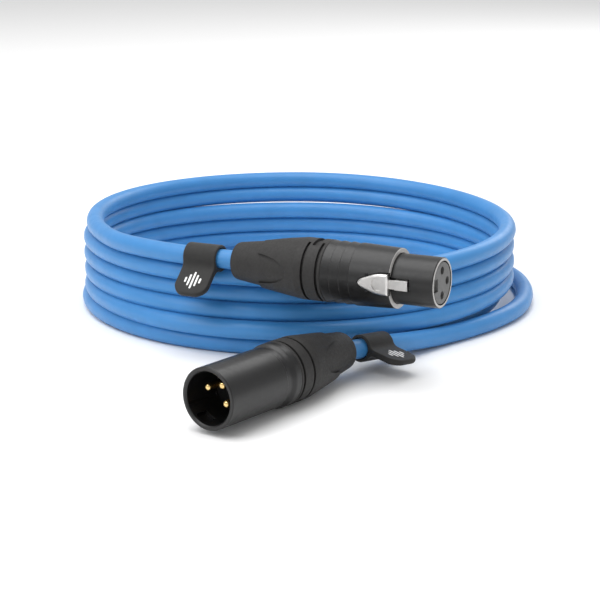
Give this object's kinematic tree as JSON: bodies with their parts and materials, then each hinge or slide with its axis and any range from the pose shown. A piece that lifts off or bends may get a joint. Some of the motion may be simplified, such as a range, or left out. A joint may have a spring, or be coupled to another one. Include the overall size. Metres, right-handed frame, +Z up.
{
  "type": "xlr cable coil",
  "caption": "Blue microphone cable wound into a flat round coil, with a latching three-pole socket plug at one end, a three-pole pin plug at the other, and a rubber name tag by each.",
  "frame": {"origin": "centre of the coil, on the surface it lies on", "axes": "+Z up; -Y towards the side with both plugs; the socket plug's nose points to +X"},
  "size_m": [0.1678, 0.241, 0.044],
  "materials": {
    "cable_jacket": "matte blue PVC jacket",
    "boot_rubber": "matte dark grey moulded rubber with a fine grain",
    "tag_rubber": "matte black silicone rubber",
    "shell_black": "satin black finish over die-cast metal, bare at the end faces",
    "latch_metal": "brushed bright metal",
    "bare_metal": "bare spring metal",
    "insert_grey": "dark grey moulded plastic",
    "insert_black": "black moulded plastic",
    "gold_contact": "gold-plated brass",
    "clamp_plastic": "black nylon",
    "core_insulation": "white and red core insulation"
  },
  "bodies": {
    "root": {"cable_coil": "cable_jacket", "cable_pin_lead": "cable_jacket", "cable_socket_lead": "cable_jacket", "pin_chuck": "clamp_plastic", "pin_contact_1": "gold_contact", "pin_contact_2": "gold_contact", "pin_contact_3": "gold_contact", "pin_core_1": "core_insulation", "pin_core_2": "core_insulation", "pin_core_3": "core_insulation", "pin_earth_strip": "bare_metal", "pin_insert": "insert_black", "pin_shell": "shell_black", "socket_chuck": "clamp_plastic", "socket_contact_1": "gold_contact", "socket_contact_2": "gold_contact", "socket_contact_3": "gold_contact", "socket_core_1": "core_insulation", "socket_core_2": "core_insulation", "socket_core_3": "core_insulation", "socket_earth_strip": "bare_metal", "socket_insert": "insert_grey", "socket_latch_pin": "bare_metal", "socket_shell": "shell_black"},
    "latch": {"socket_latch": "latch_metal", "socket_latch_spring": "bare_metal"},
    "socket_nut": {"socket_clamp_nut": "clamp_plastic"},
    "socket_boot": {"socket_boot": "boot_rubber"},
    "pin_nut": {"pin_clamp_nut": "clamp_plastic"},
    "pin_boot": {"pin_boot": "boot_rubber"},
    "socket_tag": {"socket_tag": "tag_rubber"},
    "pin_tag": {"pin_tag": "tag_rubber"}
  },
  "joints": [
    {"name": "latch_press", "type": "hinge", "parent": "root", "child": "latch", "pos_m": [0.02067, -0.11053, 0.0339], "axis": [-0.0124, 0.0064, 0.9999], "range_deg": [0, 4], "stiffness_Nm_per_rad": 0.3, "springref_deg": -2.01},
    {"name": "socket_nut_travel", "type": "slide", "parent": "root", "child": "socket_nut", "axis": [-0.8869, 0.4617, -0.014], "range_m": [0, 0.0024]},
    {"name": "socket_boot_turn", "type": "hinge", "parent": "socket_nut", "child": "socket_boot", "pos_m": [0.00862, -0.09383, 0.03364], "axis": [-0.8869, 0.4617, -0.014], "range_deg": [0, 720]},
    {"name": "pin_nut_travel", "type": "slide", "parent": "root", "child": "pin_nut", "axis": [0.5946, 0.8036, -0.0262], "range_m": [0, 0.0024]},
    {"name": "pin_boot_turn", "type": "hinge", "parent": "pin_nut", "child": "pin_boot", "pos_m": [-0.00281, -0.12386, 0.01], "axis": [0.5946, 0.8036, -0.0262], "range_deg": [0, 720]},
    {"name": "socket_tag_turn", "type": "hinge", "parent": "root", "child": "socket_tag", "pos_m": [-0.03147, -0.07296, 0.03301], "axis": [-0.8869, 0.4617, -0.014], "range_deg": [0, 135]},
    {"name": "pin_tag_turn", "type": "hinge", "parent": "root", "child": "pin_tag", "pos_m": [0.0276, -0.0869, 0.0068], "axis": [-0.6841, -0.7225, 0.0999], "range_deg": [0, 80]}
  ],
  "couplings": [
    {"joint": "socket_boot_turn", "follows": "socket_nut_travel", "rad_per_m": 5236},
    {"joint": "pin_boot_turn", "follows": "pin_nut_travel", "rad_per_m": 5236}
  ]
}
